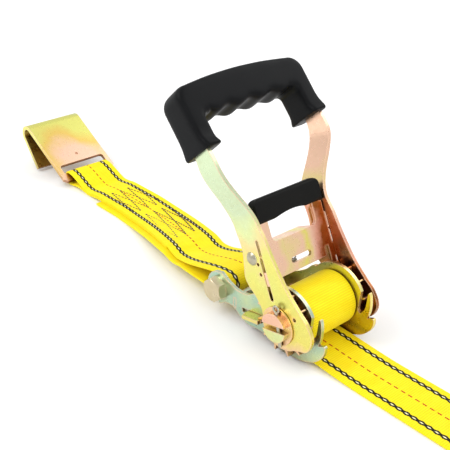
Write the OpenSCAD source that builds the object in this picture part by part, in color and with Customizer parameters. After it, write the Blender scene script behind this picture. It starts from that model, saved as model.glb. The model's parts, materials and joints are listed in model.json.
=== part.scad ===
// Ratchet tie down: a wide-handle ratchet buckle with 50 mm webbing and two flat hooks.
// Frame: the spindle axis lies along Y, straight above the origin. The floor is z = 0.
// The short strap leaves toward -X, the long strap leaves the roll toward +X.

/* [View] */
// which sub-part to draw
// facets of round parts
round_fn = 48; // [32:8:96]

/* [Spindle] */
// height of the spindle axis above the floor
axis_h = 29.6; // [25:0.1:40]
// radius of the two half-moon bars together
spindle_r = 12; // [10:0.5:13]
// gap between the half-moon bars, which takes the webbing
slot_gap = 5; // [3:0.5:7]
// tilt of that gap from level
slot_tilt = 12; // [-90:1:90]
// half of the spindle's length
spindle_half = 44.6; // [43.6:0.1:48]
// running clearance of the spindle in the plates
run_fit = 0.08; // [0.02:0.01:0.1]

/* [Ratchet wheels] */
// teeth on each wheel
teeth = 12; // [10:1:16]
// radius at the tooth tips
tip_r = 27; // [24:0.5:30]
// radius between the teeth
root_r = 19; // [17:0.5:22]
// angle covered by a tooth's flat top
tooth_top = 2.6; // [1:0.2:5]
// angle covered by a tooth at its foot
tooth_foot = 13; // [8:1:20]
// inner and outer faces of a wheel, measured from the middle
wheel_in = 29.6; // [29:0.1:32]
wheel_out = 35; // [33:0.1:37]
// radius reached by the pawl and the lock slide inside the tooth gaps
pawl_r = 23.8; // [21:0.1:26]

/* [Base] */
// inner face of each base plate, measured from the middle
base_in = 26.2; // [25.5:0.1:28]
// sheet thickness of the steel plates
sheet = 3; // [2:0.5:5]
// radius of the round end
base_r = 28.4; // [26:0.1:32]
// anchor bolt: distance behind the spindle and drop below it
bolt_back = 77.5; // [60:0.5:100]
bolt_drop = 6.7; // [0:0.1:15]
// radius of the eye round the anchor bolt
eye_r = 13.9; // [11:0.1:18]
// bolt shank radius
bolt_r = 6; // [4:0.5:8]
// hexagon across flats
hex_af = 19; // [13:1:24]

/* [Lock slide] */
// angle of the slide, measured from +X
slide_dir = 190; // [180:1:200]
// length of the slide's ears along its travel
slide_len = 20; // [15:1:26]
// travel of the slide
slide_travel = 6; // [4:0.5:8]

/* [Handle] */
// direction of the release lever's guide slots, measured from +X
handle_lean = 115; // [90:1:150]
// inner face of each handle plate at the hub
hub_in = 35.5; // [35.3:0.1:38]
// outer face of each plate where it enters the grip
flare_y = 60; // [50:1:70]
// start and end of the outward sweep, measured from the spindle
flare_from = 78; // [60:1:100]
flare_to = 132; // [110:1:140]
// cross rod: position along and behind the guide slots
rod_u = 53.3; // [45:0.1:65]
rod_v = 9.6; // [5:0.1:15]
// cross rod radius
rod_r = 4.5; // [3:0.5:6]

/* [Grip] */
// lower end of the grip legs, along and behind the guide slots
grip_u = 140; // [130:1:150]
grip_v = 9; // [0:1:20]
// backward tilt of the grip
grip_tilt = 18; // [0:1:30]
// half width over the legs
grip_half = 63.5; // [55:0.5:70]
// height of the grip
grip_h = 54.5; // [50:0.5:65]
// front to back size of the grip
grip_deep = 27; // [20:1:35]

/* [Release lever] */
// middle of the lever sheet, in front of the spindle axis when negative
lever_v = -0.8; // [-3:0.1:3]
// half width of the lever
lever_half = 34.4; // [30:0.1:35]
// lower edge of the lever's web
web_low = 33.6; // [30:0.1:40]
// lower and upper edges of the window
window_low = 61; // [60:0.5:65]
window_high = 79; // [70:1:90]
// upper edge of the lever
lever_top = 94; // [85:1:105]
// travel of the lever
lever_travel = 8; // [5:1:10]

// half width of the sheet inside the dipped bar
bar_half = 32.2; // [28:0.1:34]

/* [Webbing] */
// width of the webbing
web_w = 50; // [45:1:52]
// thickness of the webbing
web_t = 2.2; // [1.5:0.1:3]
// radius of the webbing wound on the spindle
roll_r = 24; // [16:0.5:25]
// sideways shift of the short strap between the bolt and its hook
strap_shift = 34; // [0:1:50]
// storage roll: distance from the spindle and outer radius
store_x = 275; // [250:5:400]
store_r = 76; // [60:1:100]
// length of strap lying between the storage roll and the rear hook
tail_run = 62; // [50:1:120]

/* [Flat hooks] */
// hook width
hook_w = 64; // [56:1:70]
// sheet thickness of the hook
hook_t = 4; // [3:0.5:6]
// slope of the hook plate
hook_slope = 30; // [10:1:45]
// distance from the strap bar to the bend
hook_len = 73; // [50:1:100]
// middle radius of the bend
hook_bend = 8.5; // [6:0.5:15]
// angle through which the hook is folded
hook_turn = 158; // [120:1:175]
// length of the folded lip
hook_lip = 37; // [20:1:60]
// distance from the anchor bolt side to the front hook's bar
hook_x = -362; // [-450:1:-250]
// radius inside the strap loop round the bar
loop_r = 5.2; // [4.9:0.1:8]

/* [Hidden] */
$fn = round_fn;
zinc = [0.86, 0.80, 0.47];
zinc_pink = [0.86, 0.71, 0.52];
silver = [0.75, 0.75, 0.73];
black = [0.08, 0.08, 0.09];
yellow = [0.97, 0.87, 0.08];
base_out = base_in + sheet;
hub_out = hub_in + sheet;
bolt_pos = [-bolt_back, -bolt_drop];
bar_z = loop_r + web_t + 0.2;
gap = 0.3;
// cotter pins, measured from the middle of the spindle
pin_y = spindle_half - 2.8;
// the pawl's front face stands this angle in front of the guide direction
pawl_face = handle_lean + asin((lever_v - sheet / 2) / pawl_r);
// angle of one tooth's steep face, just ahead of the pawl
tooth_face = pawl_face - 0.7;
lock_face = tooth_face + 90 + 1.5;
lock_tip = pawl_r * [cos(lock_face), sin(lock_face)];
rear_x = store_x + store_r + web_t + tail_run;

// ---- helpers ----
// a closed smooth curve through the given points
function smooth(p, n) = [for (i = [0:len(p) - 1]) let (c = len(p), a = p[(i + c - 1) % c],
  b = p[i], d = p[(i + 1) % c], e = p[(i + 2) % c]) for (k = [0:n - 1]) let (t = k / n)
  0.5 * (2 * b + (d - a) * t + (2 * a - 5 * b + 4 * d - e) * t * t
  + (3 * b - a - 3 * d + e) * t * t * t)];
// 0 to 1 with level ends
function ease(x) = let (t = min(1, max(0, x))) t * t * (3 - 2 * t);
function unit(v) = v / norm(v);
function left_of(p, i) = let (a = p[max(0, i - 1)], b = p[min(len(p) - 1, i + 1)],
  d = unit(b - a)) [-d[1], d[0]];
// a band of the given thickness along an open path
function band(p, t) = concat(
  [for (i = [0:len(p) - 1]) p[i] - left_of(p, i) * t / 2],
  [for (i = [len(p) - 1:-1:0]) p[i] + left_of(p, i) * t / 2]);
function turned(p) = [for (i = [len(p) - 1:-1:0]) p[i]];

// a profile drawn in X and Z, standing between two values of Y
module slab(y0, y1) {
  translate([0, y1, 0]) rotate([90, 0, 0]) linear_extrude(y1 - y0) children();
}
module at_axis() {
  translate([0, 0, axis_h]) children();
}
// X runs along the guide slots, Z points to the back of the handle
module in_handle() {
  at_axis() rotate([0, -handle_lean, 0]) children();
}
module in_grip() {
  in_handle() translate([grip_u, 0, grip_v]) rotate([0, -grip_tilt, 0]) children();
}
module side(s) {
  if (s < 0) mirror([0, 1, 0]) children();
  else children();
}
module rod_y(r, y0, y1) {
  translate([0, y0, 0]) rotate([-90, 0, 0]) cylinder(r = r, h = y1 - y0);
}
module long_hole(a, b, r) {
  hull() {
    translate(a) circle(r = r, $fn = 24);
    translate(b) circle(r = r, $fn = 24);
  }
}
// a coil spring: the slice of its wire at one height is an arc, swept round as it rises
module spring(r, wire, turns, length) {
  slices_per_turn = 14;
  arc = 360 * wire * turns / length;
  ks = [-1, -0.8, -0.4, 0, 0.4, 0.8, 1];
  function at(k, s) = let (q = r + s * wire * sqrt(1 - k * k)) q * [cos(arc * k), sin(arc * k)];
  linear_extrude(length, twist = -360 * turns, slices = turns * slices_per_turn, $fn = 12)
    polygon(concat([for (k = ks) at(k, 1)], [for (i = [5:-1:1]) at(ks[i], -1)]));
}

// ---- base ----
module base_outline() {
  waist = [[-78, 6.9], [-67, 3.4], [-56, 0.5], [-45, 2], [-34, 8.8], [-24, 16.8], [-8, 10],
    [-6, -24], [-15, -27.2], [-24, -24.2], [-33, -24.4], [-42, -25.4], [-51, -22.4],
    [-60, -17.2], [-69, -17.6], [-78, -20.6]];
  horn = [[25, -6], [29.2, 1], [30.5, 8], [31.1, 15.6], [32.3, 17], [33.6, 14], [34.4, 7],
    [34.1, 1], [33, -3.4], [31, -9]];
  beak = [[20, -8], [30, -6.4], [34, -5], [37.6, -3.6], [39, -5], [38.6, -10], [35.6, -16],
    [28, -23], [17, -27.6], [4, -29.5], [-8, -29.4], [-16, -25], [-4, -14]];
  difference() {
    union() {
      circle(r = base_r);
      translate(bolt_pos) circle(r = eye_r);
      polygon(smooth(turned(waist), 6));
      polygon(smooth(turned(beak), 6));
    }
    long_hole([25.6, -1.2], [27.8, 22], 2.9);
  }
  polygon(smooth(turned(horn), 6));
}
module in_slide() {
  at_axis() translate([lock_tip[0], 0, lock_tip[1]]) rotate([0, -slide_dir, 0]) children();
}
module base_plate() {
  slot_play = 0.25;
  difference() {
    at_axis() slab(base_in, base_out) base_outline();
    at_axis() rod_y(spindle_r + run_fit, base_in - 1, base_out + 1);
    at_axis() translate([-bolt_back, 0, -bolt_drop]) rod_y(bolt_r, base_in - 1, base_out + 1);
    in_slide() translate([1.6, base_in - 1, -slot_play])
      cube([slide_len + slide_travel, sheet + 2, sheet + 2 * slot_play]);
    // seats for the tabs of the web
    at_axis() translate([-60, base_in - 1, -17]) cube([sheet, sheet + 2, 9]);
  }
}
module base_plate_near() color(zinc) side(-1) base_plate();
module base_plate_far() color(zinc) base_plate();
module base_web() {
  peg_from = slide_len + slide_travel + 0.6;
  color(zinc) {
    at_axis() translate([-60, -base_in, -19]) cube([sheet, 2 * base_in, 13]);
    at_axis() translate([-60, -base_out, -17]) cube([sheet, 2 * base_out, 9]);
    // spring pegs
    for (y = [-14, 14]) in_slide() translate([peg_from, y, sheet / 2]) rotate([0, 90, 0])
      cylinder(r = 1.3, h = 36 - peg_from, $fn = 24);
  }
}
module in_bolt() {
  at_axis() translate([-bolt_back, 0, -bolt_drop]) children();
}
module anchor_bolt() {
  head_y = base_out + 1.6;
  head_h = 7.4;
  color(silver) in_bolt() {
    rod_y(bolt_r, -head_y, base_out + 11.5);
    translate([0, -head_y - head_h, 0]) rotate([-90, 0, 0]) intersection() {
      rotate(18) cylinder(r = hex_af / 2 / cos(30), h = head_h, $fn = 6);
      cylinder(r1 = hex_af / 2 - 0.2, r2 = hex_af / 2 + 13, h = 13.2);
    }
  }
}
module anchor_washer() {
  color(silver) in_bolt() difference() {
    rod_y(hex_af / 2 + 0.6, -base_out - 1.6, -base_out);
    rod_y(bolt_r, -base_out - 2, -base_out + 1);
  }
}
module anchor_nut() {
  nut_h = 9.6;
  color(silver) in_bolt() difference() {
    translate([0, base_out, 0]) rotate([-90, 0, 0]) rotate(8)
      cylinder(r = hex_af / 2 / cos(30), h = nut_h, $fn = 6);
    rod_y(bolt_r, base_out - 1, base_out + nut_h + 1);
  }
}
module anchor_sleeve() {
  color(zinc) in_bolt() difference() {
    rod_y(8 - 0.05, -base_in, base_in);
    rod_y(bolt_r, -base_in - 1, base_in + 1);
  }
}
module lock_springs() {
  free = 13;
  color(silver) for (y = [-14, 14]) in_slide() translate([slide_len + 0.5, y, sheet / 2])
    rotate([0, 90, 0]) spring(2.3, 0.45, 5, free);
}

// ---- straps ----
anchor_z = axis_h - bolt_drop;
join_x = -150;
flat_x = -260;
rise_x = hook_x + 36;
function pair_h(x) = 2.5 + 11.5 * (1 - ease((join_x - x) / (join_x - flat_x)));
function upper_z(x) = x > join_x
  ? let (s = ease((-bolt_back - x) / (-bolt_back - join_x)))
    (1 - s) * (anchor_z + 8 + web_t / 2) + s * (pair_h(join_x) + web_t / 2)
  : pair_h(x) + web_t / 2 + (bar_z + loop_r - pair_h(x)) * ease((rise_x - x) / (rise_x - hook_x));
function lower_z(x) = x > join_x
  ? let (s = ease((-bolt_back - x) / (-bolt_back - join_x)))
    (1 - s) * (anchor_z - 8 - web_t / 2) + s * (pair_h(join_x) - web_t / 2)
  : pair_h(x) - web_t / 2
    + (bar_z - loop_r - pair_h(x)) * ease((rise_x - x) / (rise_x - hook_x));
function strap_y(x) = strap_shift * ease((-90 - x) / 185);
module half_ring(r, t, from) {
  intersection() {
    difference() {
      circle(r = r + t);
      circle(r = r);
    }
    rotate(from) translate([0, -2 * r - t]) square([2 * r + t + 5, 4 * r + 2 * t]);
  }
}
module short_strap_side() {
  steps = 56;
  xs = [for (i = [0:steps]) -bolt_back + (hook_x + bolt_back) * i / steps];
  polygon(band([for (x = xs) [x, upper_z(x)]], web_t));
  polygon(band([for (x = xs) [x, lower_z(x)]], web_t));
  translate([-bolt_back, anchor_z]) half_ring(8, web_t, 0);
  translate([hook_x, bar_z]) half_ring(loop_r, web_t, 180);
}
module short_strap() {
  steps = 40;
  reach = 30;
  xs = [for (i = [0:steps]) reach - bolt_back + (hook_x + bolt_back - 2 * reach) * i / steps];
  color(yellow) intersection() {
    slab(-60, 100) short_strap_side();
    translate([0, 0, -1]) linear_extrude(60) polygon(band([for (x = xs) [x, strap_y(x)]], web_w));
  }
}
module free_strap() {
  settle = 72;
  steps = 16;
  top = axis_h - roll_r + web_t / 2;
  xs = [for (i = [0:steps]) settle * i / steps];
  path = concat([for (x = xs) [x, top + (web_t / 2 - top) * ease(x / settle)]],
    [[store_x, web_t / 2]]);
  color(yellow) difference() {
    slab(-web_w / 2, web_w / 2) polygon(band(path, web_t));
    at_axis() rod_y(roll_r + gap, -web_w, web_w);
    translate([store_x, 0, store_r]) rod_y(store_r, -web_w, web_w);
  }
}
module storage_roll() {
  eye = 9;
  color(yellow) translate([store_x, 0, store_r]) difference() {
    rod_y(store_r, -web_w / 2, web_w / 2);
    rod_y(eye, -web_w, web_w);
  }
}
module tail_strap() {
  steps = 12;
  bend = 26;
  x0 = store_x + store_r + web_t / 2;
  arc = [for (i = [0:steps]) let (a = 180 + 90 * i / steps)
    [x0 + bend + bend * cos(a), web_t / 2 + bend + bend * sin(a)]];
  start = x0 + bend;
  span = rear_x - start;
  low = [for (i = [0:steps]) [start + span * i / steps, web_t / 2
    + (bar_z - loop_r - web_t) * ease(i / steps)]];
  high = [for (i = [0:steps]) [start + 4 + (span - 4) * i / steps, 1.5 * web_t
    + (bar_z + loop_r - web_t) * ease(i / steps)]];
  color(yellow) slab(-web_w / 2, web_w / 2) {
    polygon(band(concat([[x0, store_r]], arc), web_t));
    polygon(band(low, web_t));
    polygon(band(high, web_t));
    translate([rear_x, bar_z]) half_ring(loop_r, web_t, 0);
  }
}

// ---- spindle ----
module in_spindle() {
  at_axis() rotate([0, -slot_tilt, 0]) children();
}
module spindle_half(s) {
  in_spindle() difference() {
    intersection() {
      rod_y(spindle_r, -spindle_half, spindle_half);
      translate([-spindle_r, -spindle_half, s > 0 ? slot_gap / 2 : -spindle_r - slot_gap / 2])
        cube([2 * spindle_r, 2 * spindle_half, spindle_r]);
    }
    for (y = [-pin_y, pin_y]) translate([3, y, -20]) cylinder(r = 1.7, h = 40, $fn = 24);
  }
}
module spindle_half_upper() color(zinc_pink) spindle_half(1);
module spindle_half_lower() color(zinc) spindle_half(-1);
module tooth() {
  polygon([(root_r - 0.6) * [cos(tooth_foot), -sin(tooth_foot)],
    tip_r * [cos(tooth_top), -sin(tooth_top)], [tip_r, 0], [root_r - 2, 0]]);
}
module wheel() {
  at_axis() slab(wheel_in, wheel_out) difference() {
    union() {
      circle(r = root_r);
      for (i = [0:teeth - 1]) rotate(tooth_face + i * 360 / teeth) tooth();
    }
    rotate(slot_tilt) difference() {
      circle(r = spindle_r);
      square([2 * spindle_r + 2, slot_gap], center = true);
    }
  }
}
module ratchet_wheel_near() color(zinc_pink) side(-1) wheel();
module ratchet_wheel_far() color(zinc_pink) wheel();
module thrust_washers() {
  washer_r = 15.5;
  washer_t = 1.2;
  color(zinc) for (s = [-1, 1]) side(s) at_axis()
    slab(hub_out + gap, hub_out + gap + washer_t) difference() {
      circle(r = washer_r);
      rotate(slot_tilt) difference() {
        circle(r = spindle_r);
        square([2 * spindle_r + 2, slot_gap], center = true);
      }
    }
}
module cotter() {
  wire = 1.5;
  eye = 2.6;
  in_spindle() translate([3, pin_y, 0]) {
    translate([0, 0, -spindle_r - 3.5]) cylinder(r = wire, h = 2 * spindle_r + 5, $fn = 24);
    translate([0, 0, spindle_r + 3.4]) rotate([90, 0, 0])
      rotate_extrude() translate([eye, 0]) circle(r = 0.9, $fn = 16);
  }
}
module cotter_pin_near() color(silver) side(-1) cotter();
module cotter_pin_far() color(silver) cotter();
module webbing_roll() {
  color(yellow) {
    at_axis() difference() {
      rod_y(roll_r, -web_w / 2, web_w / 2);
      rod_y(spindle_r, -web_w, web_w);
    }
    in_spindle() translate([-spindle_r, -web_w / 2, -web_t / 2])
      cube([2 * spindle_r, web_w, web_t]);
  }
}

// ---- handle ----
module handle_outline() {
  front = [[170, 9], [157, 3.4], [146, -0.8], [137, -4.6], [125, -7], [99, -5.5], [80, -6.8], [67, -10.3],
    [51, -13.2], [28, -19], [10, -26.6], [0, -31.4], [-12, -31.6], [-20.4, -23.2],
    [-19.8, -11.6], [-20.4, -1.5]];
  back = [[-16.4, 8.6], [-6, 14.4], [5, 15], [14, 14.6], [23, 17.2], [31, 21.6], [38.5, 23.6],
    [47, 21.4], [57, 18.6], [66, 18.2], [78, 19.8], [91, 19.4], [106, 16.4], [122, 14.6],
    [138, 15], [156, 20], [172, 27], [184, 25], [182, 12]];
  polygon(smooth(turned(concat(front, back)), 5));
}
function flare(u) = hub_out + (flare_y - hub_out) * ease((u - flare_from) / (flare_to - flare_from));
module flared_sheet() {
  steps = 20;
  us = [for (i = [0:steps]) flare_from + (flare_to - flare_from) * i / steps];
  path = concat([[-50, hub_out - sheet / 2]], [for (u = us) [u, flare(u) - sheet / 2]],
    [[200, flare_y - sheet / 2]]);
  translate([0, 0, -60]) linear_extrude(120) polygon(band(path, sheet));
}
module guide_slots() {
  play = 0.15;
  // the slot that the lever's ear rides in, and the inspection slot above it
  long_hole([21, lever_v], [44 + lever_travel, lever_v], sheet / 2 + play);
  long_hole([55.5, lever_v - 0.5], [66, lever_v - 0.5], sheet / 2 - 0.1);
  translate([48.6, 4.2]) circle(r = 1.4, $fn = 24);
  translate([40.5, 4.2]) circle(r = 1.4, $fn = 24);
  translate([5, -19.5]) circle(r = 1.6, $fn = 24);
}
bar_u = 176;
bar_v = 20.6;
module handle_plate() {
  in_handle() difference() {
    intersection() {
      slab(30, 70) handle_outline();
      flared_sheet();
    }
    rod_y(spindle_r + run_fit, 30, 45);
    slab(hub_in - 1, hub_out + 1) guide_slots();
    translate([rod_u, 0, rod_v]) rod_y(3, 30, 45);
    translate([bar_u, 0, bar_v]) rod_y(4, 50, 70);
  }
}
module handle_plate_near() color(zinc) side(-1) handle_plate();
module handle_plate_far() color(zinc) handle_plate();
module button_head(y) {
  rise = 2.6;
  wide = 5.4;
  dome = (wide * wide + rise * rise) / 2 / rise;
  translate([0, y, 0]) rotate([-90, 0, 0]) intersection() {
    translate([0, 0, rise - dome]) sphere(r = dome);
    cylinder(r = wide, h = rise + 1);
  }
}
module cross_rod() {
  color(silver) in_handle() translate([rod_u, 0, rod_v]) {
    rod_y(rod_r, -hub_in, hub_in);
    rod_y(3, -hub_out, hub_out);
    for (s = [-1, 1]) side(s) button_head(hub_out);
  }
}
module grip_bar() {
  inner = flare_y - sheet;
  color(zinc) in_handle() translate([bar_u, 0, bar_v]) {
    rod_y(6, -inner, inner);
    rod_y(4, -flare_y, flare_y);
  }
}
module grip_front() {
  leg = 16;
  low = 26.5;
  corner = 11;
  crown = 3.2;
  bump_pitch = 22;
  bump_r = 12;
  bump_rise = 2.5;
  groove_r = 6;
  difference() {
    union() {
      // legs
      for (s = [-1, 1]) translate([0, s * (grip_half - leg / 2) - leg / 2])
        square([grip_h - corner - crown, leg]);
      // crossbar with rounded outer corners and a slightly crowned top
      hull() {
        for (s = [-1, 1]) translate([grip_h - corner - crown, s * (grip_half - corner)])
          circle(r = corner, $fn = 40);
        for (y = [-30, -15, 0, 15, 30]) translate([grip_h - 4 - crown * y * y / 1800, y])
          circle(r = 4, $fn = 24);
        translate([low, -grip_half]) square([4, 2 * grip_half]);
      }
      // finger bumps
      for (i = [-1.5:1:1.5]) translate([low + bump_r - bump_rise, i * bump_pitch])
        circle(r = bump_r);
    }
    // rounded grooves between the bumps
    for (i = [-2:1:2]) translate([low + 0.5 - groove_r, i * bump_pitch])
      circle(r = groove_r, $fn = 40);
  }
}
module grip_side() {
  half = grip_deep / 2;
  polygon(smooth([[3, -half - 4.5], [13, -half], [34, -half - 0.3], [46, -half + 0.6],
    [51.6, -half + 7], [grip_h, 0], [51.4, half - 5.4], [45, half - 0.2], [34, half + 0.4],
    [13, half], [4, half + 3.4], [0.4, half - 3], [-0.6, 2], [-0.2, -half + 4]], 5));
}
module handle_grip() {
  edge = 2.6;
  color(black) in_grip() intersection() {
    minkowski() {
      translate([0, 0, -grip_deep / 2 - 3]) linear_extrude(grip_deep + 6)
        offset(delta = -edge) grip_front();
      sphere(r = edge, $fn = 12);
    }
    slab(-grip_half - 1, grip_half + 1) grip_side();
  }
}

// ---- release lever ----
module lever_sheet() {
  foot_in = wheel_in + gap;
  difference() {
    union() {
      translate([web_low, -lever_half]) square([lever_top - web_low, 2 * lever_half]);
      for (s = [-1, 1]) mirror([0, s > 0 ? 0 : 1]) {
        translate([pawl_r, foot_in]) square([web_low - pawl_r + 1, lever_half - foot_in]);
        // ear that rides in the guide slot
        translate([31, foot_in]) square([11, hub_out - 0.4 - foot_in]);
      }
    }
    hull() for (u = [window_low + 4, window_high], y = [-20, 20]) translate([u, y])
      circle(r = 4, $fn = 24);
    long_hole([42, -8.5], [42, 8.5], 2.3);
    // narrower under the dipped bar
    for (s = [-1, 1]) mirror([0, s > 0 ? 0 : 1]) translate([window_high - 2, bar_half])
      square([40, 10]);
    // room for the edges of the base plates
    for (s = [-1, 1]) mirror([0, s > 0 ? 0 : 1]) translate([web_low - 1, base_in - 0.5])
      square([8.8, wheel_in + gap - base_in + 0.5]);
  }
}
module release_lever() {
  half = sheet / 2;
  flange = 11;
  lip = 13;
  rod_top = rod_u + rod_r + gap;
  bevel = 2.4;
  color(zinc_pink) in_handle() translate([0, 0, lever_v]) {
    difference() {
      translate([0, 0, -half]) linear_extrude(sheet) lever_sheet();
      // bevel behind the pawl's tip
      translate([pawl_r, 0, half]) rotate([0, 30, 0]) translate([-5, -40, 0]) cube([5 + bevel, 80, 5]);
    }
    // side flanges, above the cross rod
    for (s = [-1, 1]) side(s) difference() {
      translate([rod_top, lever_half - sheet, half])
        cube([window_high - 2.2 - rod_top, sheet, flange]);
      translate([window_high, lever_half - sheet - 1, flange + half]) rotate([0, 38, 0])
        cube([10, 9, 10], center = true);
    }
    // lip folded back along the window's lower edge
    translate([window_low - sheet, -19, half - 0.5]) cube([sheet, 38, lip + 0.5]);
    // tab that the lever spring pushes on
    translate([35, -5, half]) cube([2.4, 10, 12.6]);
  }
}
module lever_grip() {
  low = window_high - 1.5;
  high = lever_top + 2.4;
  thick = 4.2;
  corner = 6;
  color(black) in_handle() translate([0, 0, lever_v]) difference() {
    intersection() {
      // rounded section, drawn along and across the sheet
      slab(-lever_half, lever_half) union() {
        translate([low + 3, -thick]) square([high - low - 6, 2 * thick]);
        translate([low, 3 - thick]) square([high - low, 2 * thick - 6]);
        for (u = [low + 3, high - 3], v = [3 - thick, thick - 3]) translate([u, v]) circle(r = 3);
      }
      // rounded ends
      translate([0, 0, -10]) linear_extrude(20) union() {
        translate([low, corner - lever_half]) square([high - low, 2 * (lever_half - corner)]);
        translate([low, -lever_half]) square([high - low - corner, 2 * lever_half]);
        for (y = [-1, 1]) translate([high - corner, y * (lever_half - corner)])
          circle(r = corner);
      }
    }
    // scooped lower edge
    translate([low - 57.4, 0, -20]) cylinder(r = 60, h = 40, $fn = 96);
    translate([low - 20, -bar_half, -sheet / 2]) cube([lever_top - low + 20, 2 * bar_half, sheet]);
  }
}
module lever_spring() {
  length = rod_u - rod_r - 37.4;
  color(silver) in_handle() translate([37.4, 0, rod_v]) rotate([0, 90, 0])
    spring(3, 0.5, 4, length);
}

// ---- lock slide ----
module lock_slide() {
  ear_y = hub_out - 0.2;
  back = slide_len;
  color(zinc) in_slide() {
    translate([3.2, -wheel_out, 0]) cube([back - 3.2, 2 * wheel_out, sheet]);
    for (s = [-1, 1]) side(s) {
      translate([0, base_out + gap, 0]) cube([back, wheel_out + 0.2 - base_out - gap, sheet]);
      translate([0.6, wheel_out - 1, 0]) cube([back - 2, ear_y - wheel_out + 1, sheet]);
    }
  }
}

// ---- flat hooks ----
module hook_side() {
  steps = 32;
  start = [hook_len, -hook_bend];
  arc = [for (i = [0:steps]) let (a = 90 - hook_turn * i / steps)
    start + hook_bend * [cos(a), sin(a)]];
  last = 90 - hook_turn;
  tip = start + hook_bend * [cos(last), sin(last)] + hook_lip * [sin(last), -cos(last)];
  polygon(band(concat([[-4.5, 0]], arc, [tip]), hook_t));
}
module hook() {
  edge = 5;
  rotate([0, 180 + hook_slope, 0]) mirror([0, 0, 1]) difference() {
    slab(-hook_w / 2, hook_w / 2) hook_side();
    // strap slot
    translate([0, 0, -hook_t]) linear_extrude(2 * hook_t) hull()
      for (x = [7.6, 13.4], y = [-24, 24]) translate([x, y]) circle(r = 3, $fn = 24);
    // small round dimple
    translate([26, 0, hook_t / 2]) sphere(r = 1.6, $fn = 24);
    // clipped lower corners
    for (s = [-1, 1]) translate([-4.5, s * hook_w / 2, 0]) rotate(45)
      cube([edge, edge, 3 * hook_t], center = true);
  }
}
module flat_hook_front() {
  color(zinc) translate([hook_x, strap_shift, bar_z]) hook();
}
module flat_hook_rear() {
  color(zinc) translate([rear_x, 0, bar_z]) rotate(180) hook();
}

base_plate_near();
base_plate_far();
base_web();
anchor_bolt();
anchor_washer();
anchor_nut();
anchor_sleeve();
lock_springs();
short_strap();
free_strap();
storage_roll();
tail_strap();
spindle_half_upper();
spindle_half_lower();
ratchet_wheel_near();
ratchet_wheel_far();
thrust_washers();
cotter_pin_near();
cotter_pin_far();
webbing_roll();
handle_plate_near();
handle_plate_far();
cross_rod();
grip_bar();
handle_grip();
release_lever();
lever_grip();
lever_spring();
lock_slide();
flat_hook_front();
flat_hook_rear();
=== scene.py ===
import json
import math
import bpy
import numpy as np
from mathutils import Matrix, Vector


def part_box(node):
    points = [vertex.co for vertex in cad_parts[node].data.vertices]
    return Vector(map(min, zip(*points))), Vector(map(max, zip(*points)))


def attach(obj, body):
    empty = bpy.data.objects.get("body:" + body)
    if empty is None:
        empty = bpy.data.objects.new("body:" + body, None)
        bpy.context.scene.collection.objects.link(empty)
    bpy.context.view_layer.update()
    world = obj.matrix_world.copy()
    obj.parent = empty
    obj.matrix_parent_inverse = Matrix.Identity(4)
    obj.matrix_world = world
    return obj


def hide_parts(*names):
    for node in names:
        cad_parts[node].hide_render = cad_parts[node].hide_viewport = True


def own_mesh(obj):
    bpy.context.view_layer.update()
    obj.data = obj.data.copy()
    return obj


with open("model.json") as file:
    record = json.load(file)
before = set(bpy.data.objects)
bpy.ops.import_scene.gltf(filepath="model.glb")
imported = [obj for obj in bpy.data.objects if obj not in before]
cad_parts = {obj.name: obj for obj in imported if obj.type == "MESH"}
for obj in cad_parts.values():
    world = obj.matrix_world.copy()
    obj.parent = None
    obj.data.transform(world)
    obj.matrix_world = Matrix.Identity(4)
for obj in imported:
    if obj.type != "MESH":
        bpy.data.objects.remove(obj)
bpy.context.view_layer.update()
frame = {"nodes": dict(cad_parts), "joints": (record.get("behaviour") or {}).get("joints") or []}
nodes = frame["nodes"]
joints = {j["name"]: j for j in frame["joints"]}
mm = 0.001

# places that every piece is set from
axisHeight = joints["handle_swing"]["pos_m"][2]
lean = math.atan2(joints["lever_pull"]["axis"][2], joints["lever_pull"]["axis"][0])
frontBar = Vector(joints["front_hook_swing"]["pos_m"])
rearBar = Vector(joints["rear_hook_swing"]["pos_m"])
hubPlace = (0.0, 0.0, axisHeight + 60 * mm)  # the handle's colours run from here


# Middle of a node's box.
def middle(node):
    low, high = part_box(node)
    return (Vector(low) + Vector(high)) / 2


shot = {
    "target": (-0.0691, -0.0318, 0.0849),
    "distance": 0.680,
    "azimuth": 47.56,  # degrees, 0 looks along +Y
    "elevation": 28.16,
    "roll": 1.08,
    "lens": 69.85,
}


# The camera stands at a distance from its target, at an azimuth and elevation, and is then rolled.
def placeCamera(shot):
    az, el, roll = (math.radians(shot[k]) for k in ("azimuth", "elevation", "roll"))
    back = Vector((math.sin(az) * math.cos(el), -math.cos(az) * math.cos(el), math.sin(el)))
    level = Vector((math.cos(az), math.sin(az), 0))
    rise = back.cross(level)
    right = level * math.cos(roll) + rise * math.sin(roll)
    up = back.cross(right)
    data = bpy.data.cameras.new("camera")
    data.lens = shot["lens"]
    data.sensor_width = 36
    data.clip_start = 0.01
    camera = bpy.data.objects.new("camera", data)
    bpy.context.scene.collection.objects.link(camera)
    turn = Matrix((right, up, back)).transposed().to_4x4()
    camera.matrix_world = Matrix.Translation(Vector(shot["target"]) + back * shot["distance"]) @ turn
    bpy.context.scene.camera = camera
    bpy.context.scene.view_settings.view_transform = "Standard"


studio = {
    "floor": (0.93, 0.93, 0.93),
    "sky": 0.92,
    "ground": 0.55,
    "key": {"place": (-0.9, -1.1, 1.5), "size": 1.2, "power": 16},
    "fill": {"place": (1.3, -0.6, 0.9), "size": 1.0, "power": 6},
    "rim": {"place": (0.2, 1.4, 1.2), "size": 1.4, "power": 9},
    "aim": (0, 0, 0.06),
    "horizon": (0.35, 0.6),  # grey below the first, white above the second; 0 is straight down
    "floor half": 6.0,
    "floor drop": 0.4 * mm,  # keeps the floor just under the part
    "floor roughness": 0.9,
    "floor shine": 0.1,
}


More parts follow.
